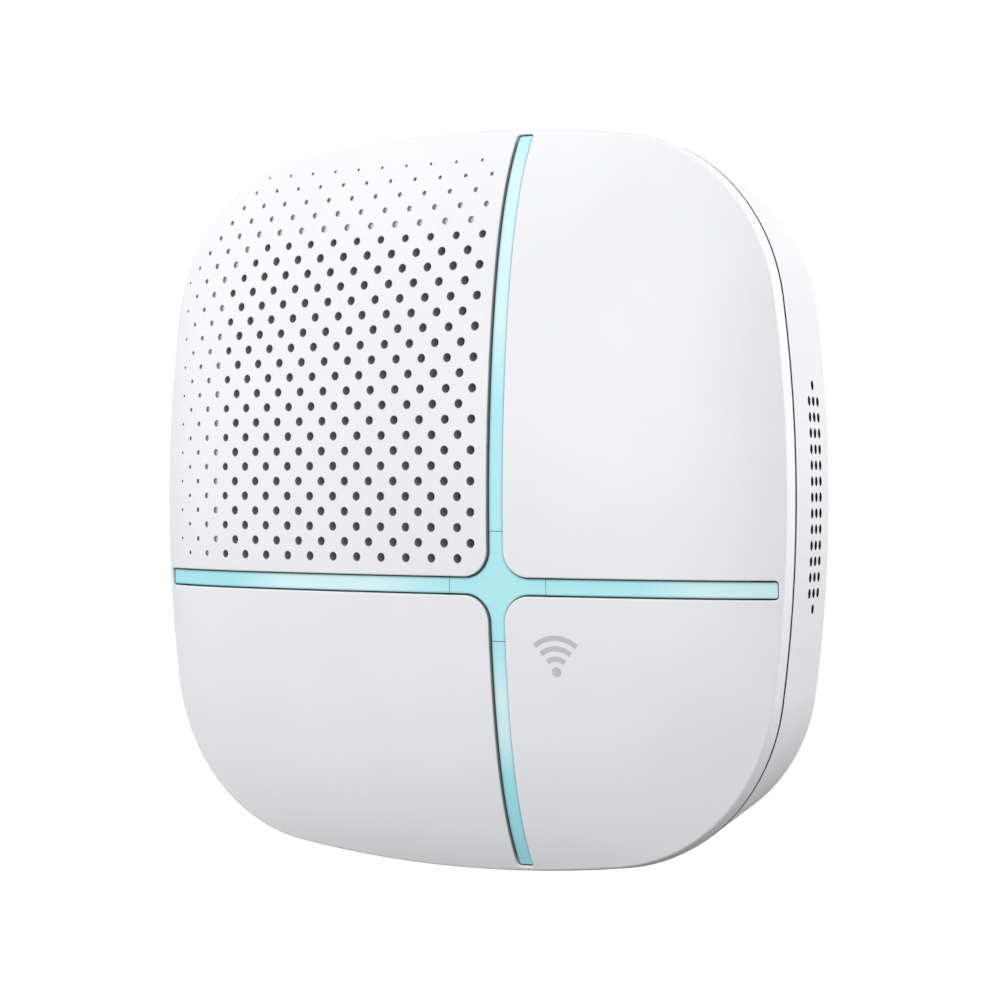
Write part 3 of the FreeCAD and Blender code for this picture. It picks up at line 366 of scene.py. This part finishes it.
# stops in mm from the hub's middle, negative towards the left or the bottom
LEVEL_GLOW = [(-66, GLOW_DEEP), (-52, GLOW_PALE), (-27, GLOW_PALE), (-12, GLOW),
              (30, GLOW), (41, GLOW_PALE), (52, GLOW_PALE)]
UPRIGHT_GLOW = [(-53, GLOW_END), (-37, GLOW_DEEP), (-29, GLOW_PALE), (-21, GLOW_PALE),
                (-12, GLOW), (36, GLOW), (50, GLOW_PALE), (80, GLOW_PALE), (90, GLOW)]


def arm_ramp(tree, source, stops):
    """Colours along a pair of arms."""
    return ramp(tree, between(tree, source, -ARM_SPAN, ARM_SPAN),
                [((place * MM / ARM_SPAN + 1) / 2, colour) for place, colour in stops])


def edge_inset(tree, sizes):
    """Distance inwards from the outline of the cross: straight bars joined by hollow corners."""
    corner = tree.nodes.new("ShaderNodeCombineXYZ")
    for axis, size in zip(("X", "Z"), sizes):
        left = maths(tree, "SUBTRACT", HOLLOW_AT, size)
        tree.links.new(maths(tree, "MAXIMUM", left, 0.0), corner.inputs[axis])
    reach = add_node(tree, "ShaderNodeVectorMath", operation="LENGTH")
    tree.links.new(corner.outputs["Vector"], reach.inputs[0])
    return maths(tree, "SUBTRACT", reach.outputs["Value"], HOLLOW_RADIUS)


def glowing(name):
    """Frosted light guide: cyan at the hub, paler where the light spreads along the arms."""
    material, tree, shader = new_material(name)
    shift = add_node(tree, "ShaderNodeMapping", Location=-hub_centre)
    tree.links.new(object_coords(tree), shift.inputs["Vector"])
    offset = axes(tree, shift.outputs["Vector"])
    sizes = [maths(tree, "ABSOLUTE", offset[axis]) for axis in ("X", "Z")]
    colours = mixed(tree, maths(tree, "GREATER_THAN", *sizes),
                    arm_ramp(tree, offset["Z"], UPRIGHT_GLOW),
                    arm_ramp(tree, offset["X"], LEVEL_GLOW))
    inset = edge_inset(tree, sizes)
    # painted shade: the guide's colour and glow fade to a dark teal towards the outline, for the
    # shade in the gap beside it
    colours = mixed(tree, between(tree, inset, EDGE_INNER, EDGE_OUTER), colours, GUIDE_EDGE_PAINTED_SHADE)
    front = times(tree, between(tree, face_normal(tree)["Y"], FACE_FROM, FACE_FULL),
                  window(tree, inset, -OUTLINE_SLACK, FAR))
    # painted shade: faces not turned forward get a near-black teal at the outline and a lighter
    # teal in the hub's seams, in place of glow
    gap_shade_colours = mixed(tree, window(tree, inset, SEAM_FACE_INSET, FAR), GUIDE_SIDE_PAINTED_SHADE, GUIDE_SEAM_PAINTED_SHADE)
    set_colour(tree, shader, mixed(tree, front, gap_shade_colours, colours))
    tree.links.new(colours, shader.inputs["Emission Color"])
    tree.links.new(maths(tree, "MULTIPLY", front, GLOW_STRENGTH),
                   shader.inputs["Emission Strength"])
    shader.inputs["Roughness"].default_value = GUIDE_ROUGHNESS
    set_bump(tree, shader, noise(tree, FROST_SCALE, 2.0), 0.03, GRAIN_HEIGHT)
    return material


# --------------------------------------------------- a material for each slot

MATERIALS = {
    "shell_white": shell("shell_white", (0.85, 0.855, 0.88), 0.38),
    "bracket_white": plastic("bracket_white", (0.74, 0.74, 0.75), 0.5, depth=0.06),
    "button_grey": plastic("button_grey", (0.16, 0.165, 0.175), 0.4),
    "light_guide": glowing("light_guide"),
    "grille_cloth": woven("grille_cloth", (0.3, 0.3, 0.305), 0.25 * MM),
    "frame_black": plastic("frame_black", (0.02, 0.02, 0.022), 0.5),
    "gasket_black": plastic("gasket_black", (0.012, 0.012, 0.013), 0.7),
    "board_green": plastic("board_green", (0.01, 0.09, 0.035), 0.3, mottling=0.2),
    "led_yellow": plastic("led_yellow", (0.9, 0.8, 0.3), 0.25),
    "switch_metal": metal("switch_metal", (0.6, 0.6, 0.61), 0.35),
    "switch_black": plastic("switch_black", (0.015, 0.015, 0.015), 0.45),
    "speaker_steel": metal("speaker_steel", (0.42, 0.43, 0.45), 0.35),
    "surround_rubber": plastic("surround_rubber", (0.012, 0.012, 0.012), 0.6),
    "cone_paper": woven("cone_paper", (0.03, 0.03, 0.03), 0.4 * MM),
    "coil_copper": metal("coil_copper", (0.72, 0.32, 0.15), 0.3),
    "spider_cloth": woven("spider_cloth", (0.45, 0.32, 0.1), 0.3 * MM),
    "magnet_dark": plastic("magnet_dark", (0.03, 0.03, 0.032), 0.55, mottling=0.3),
    "wire_red": plastic("wire_red", (0.35, 0.01, 0.01), 0.4),
    "socket_white": plastic("socket_white", (0.75, 0.73, 0.66), 0.4),
    "ribbon_white": plastic("ribbon_white", (0.72, 0.75, 0.8), 0.3),
    "pad_rubber": plastic("pad_rubber", (0.11, 0.112, 0.12), 0.75, depth=0.15),
    "screw_steel": metal("screw_steel", (0.55, 0.55, 0.57), 0.3),
    "chip_black": plastic("chip_black", (0.012, 0.012, 0.014), 0.4, depth=0.1),
    "thermal_pad": plastic("thermal_pad", (0.3, 0.38, 0.5), 0.7),
    "heatsink_aluminium": metal("heatsink_aluminium", (0.75, 0.76, 0.78), 0.35, (1, 1, 0.05)),
    "shield_tin": metal("shield_tin", (0.68, 0.67, 0.65), 0.28),
    "capacitor_can": metal("capacitor_can", (0.62, 0.62, 0.64), 0.3, (1, 0.1, 1)),
    "antenna_brass": metal("antenna_brass", (0.78, 0.58, 0.25), 0.3),
    "jack_black": plastic("jack_black", (0.018, 0.018, 0.02), 0.42),
}

slot_of = {row["node"]: row["material_slot"] for row in frame["record"]["subparts"]}
for name, item in nodes.items():
    item.data.materials.clear()
    item.data.materials.append(MATERIALS[slot_of[name]])


# ----------------------------------------------------- printed wifi symbol

MARK_RIGHT = 12.6 * MM
MARK_DOWN = 16.4 * MM
MARK_THICK = 0.04 * MM
MARK_SINK = 0.08 * MM
MARK_STEPS = 24
ARC_HALF_SWING = math.radians(40)
ARC_RADII = ((2.3 * MM, 3.3 * MM), (4.3 * MM, 5.3 * MM), (6.3 * MM, 7.3 * MM))
DOT_RADIUS = 0.95 * MM
DOT_RISE = 0.3 * MM
DOT_LEAST = 0.02                  # half width at its poles, as a share of its radius


def mesh_object(name, build, material, body):
    """A new piece from a bmesh builder, riding on a CAD body."""
    shape = bmesh.new()
    build(shape)
    bmesh.ops.recalc_face_normals(shape, faces=shape.faces)
    mesh = bpy.data.meshes.new(name)
    shape.to_mesh(mesh)
    shape.free()
    mesh.materials.append(material)
    piece = bpy.data.objects.new(name, mesh)
    scene.collection.objects.link(piece)
    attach(piece, body)


cover = nodes["front_cover"].data
cover_tree = BVHTree.FromPolygons([v.co[:] for v in cover.vertices],
                                  [p.vertices[:] for p in cover.polygons])


def on_cover(x, z):
    """The point of the front skin straight ahead of x and z."""
    return cover_tree.ray_cast(Vector((x, cad_low.y - 10 * MM, z)), Vector((0, 1, 0)))[0]


def strip(shape, inner, outer):
    """Closed thin slab between two equal rows of (x, z) places on the cover."""
    lift, sink = Vector((0, -MARK_THICK, 0)), Vector((0, MARK_SINK, 0))
    rings = []
    for inner_place, outer_place in zip(inner, outer):
        a, b = on_cover(*inner_place), on_cover(*outer_place)
        rings.append([shape.verts.new(p) for p in (a + lift, b + lift, b + sink, a + sink)])
    for near, far in zip(rings, rings[1:]):
        for k in range(4):
            shape.faces.new((near[k], near[(k + 1) % 4], far[(k + 1) % 4], far[k]))
    shape.faces.new(rings[0])
    shape.faces.new(rings[-1])


def wifi_symbol(shape):
    """Three nested arcs over a dot, the usual sign for wireless."""
    cx, cz = hub_centre.x + MARK_RIGHT, hub_centre.z - MARK_DOWN
    shares = [k / MARK_STEPS for k in range(MARK_STEPS + 1)]
    swings = [math.pi / 2 + ARC_HALF_SWING * (2 * share - 1) for share in shares]
    for radii in ARC_RADII:
        strip(shape, *([(cx + radius * math.cos(a), cz + radius * math.sin(a)) for a in swings]
                       for radius in radii))
    dot = [(DOT_RADIUS * max(math.sin(math.pi * share), DOT_LEAST),
            cz + DOT_RISE - DOT_RADIUS * math.cos(math.pi * share)) for share in shares]
    strip(shape, [(cx - reach, z) for reach, z in dot], [(cx + reach, z) for reach, z in dot])


mesh_object("wifi_mark", wifi_symbol, plastic("mark_ink", (0.55, 0.55, 0.56), 0.45),
            "housing")


# ------------------------------------------------------------------ studio

WHITE = (1, 1, 1, 1)
FLOOR_RADIUS = 3.0
FLOOR_DROP = 60 * MM
FLOOR_BOUNCE = 0.2
AMBIENT = 0.76
SOFTBOX_SIDE = 0.9
SOFTBOX_DISTANCE = 1.2

# name, degrees right of the front, degrees up, watts
SOFTBOXES = [
    ("front", 0, 0, 8.8),
    ("left", -60, 10, 3.0),
    ("key", -40, 45, 1.4),
    ("side", 130, 0, 8),
    ("high_side", 115, 40, 4.5),
]


def stage_material(name, bounced):
    """White for the camera, duller for the light that it throws back."""
    material = bpy.data.materials.new(name)
    material.use_nodes = True
    tree = material.node_tree
    tree.nodes.clear()
    path = tree.nodes.new("ShaderNodeLightPath")
    mix = tree.nodes.new("ShaderNodeMixShader")
    dull = add_node(tree, "ShaderNodeBsdfDiffuse", Color=(bounced, bounced, bounced, 1))
    bright = add_node(tree, "ShaderNodeEmission", Color=WHITE, Strength=1.0)
    output = tree.nodes.new("ShaderNodeOutputMaterial")
    tree.links.new(path.outputs["Is Camera Ray"], mix.inputs["Fac"])
    tree.links.new(dull.outputs["BSDF"], mix.inputs[1])
    tree.links.new(bright.outputs["Emission"], mix.inputs[2])
    tree.links.new(mix.outputs["Shader"], output.inputs["Surface"])
    return material


def add_floor():
    """Plain pale floor some way below the wall-mounted node."""
    shape = bmesh.new()
    bmesh.ops.create_circle(shape, cap_ends=True, segments=64, radius=FLOOR_RADIUS)
    mesh = bpy.data.meshes.new("floor")
    shape.to_mesh(mesh)
    shape.free()
    mesh.materials.append(stage_material("floor_pale", FLOOR_BOUNCE))
    floor = bpy.data.objects.new("floor", mesh)
    floor.location = (0, 0, cad_low.z - FLOOR_DROP)
    scene.collection.objects.link(floor)


def add_world():
    """Even pale surroundings, white for the camera."""
    world = bpy.data.worlds.new("studio")
    scene.world = world
    world.use_nodes = True
    tree = world.node_tree
    background = tree.nodes["Background"]
    background.inputs["Color"].default_value = WHITE
    path = tree.nodes.new("ShaderNodeLightPath")
    tree.links.new(between(tree, path.outputs["Is Camera Ray"], 0.0, 1.0, AMBIENT, 1.0),
                   background.inputs["Strength"])


def add_softbox(name, azimuth, elevation, power):
    """Square area light aimed at the node, placed by direction."""
    data = bpy.data.lights.new(name, "AREA")
    data.shape = "RECTANGLE"
    data.size = SOFTBOX_SIDE
    data.size_y = SOFTBOX_SIDE
    data.energy = power
    add_aimed(name, data, seam, towards(azimuth, elevation), SOFTBOX_DISTANCE)


add_floor()
add_world()
for softbox in SOFTBOXES:
    add_softbox(*softbox)
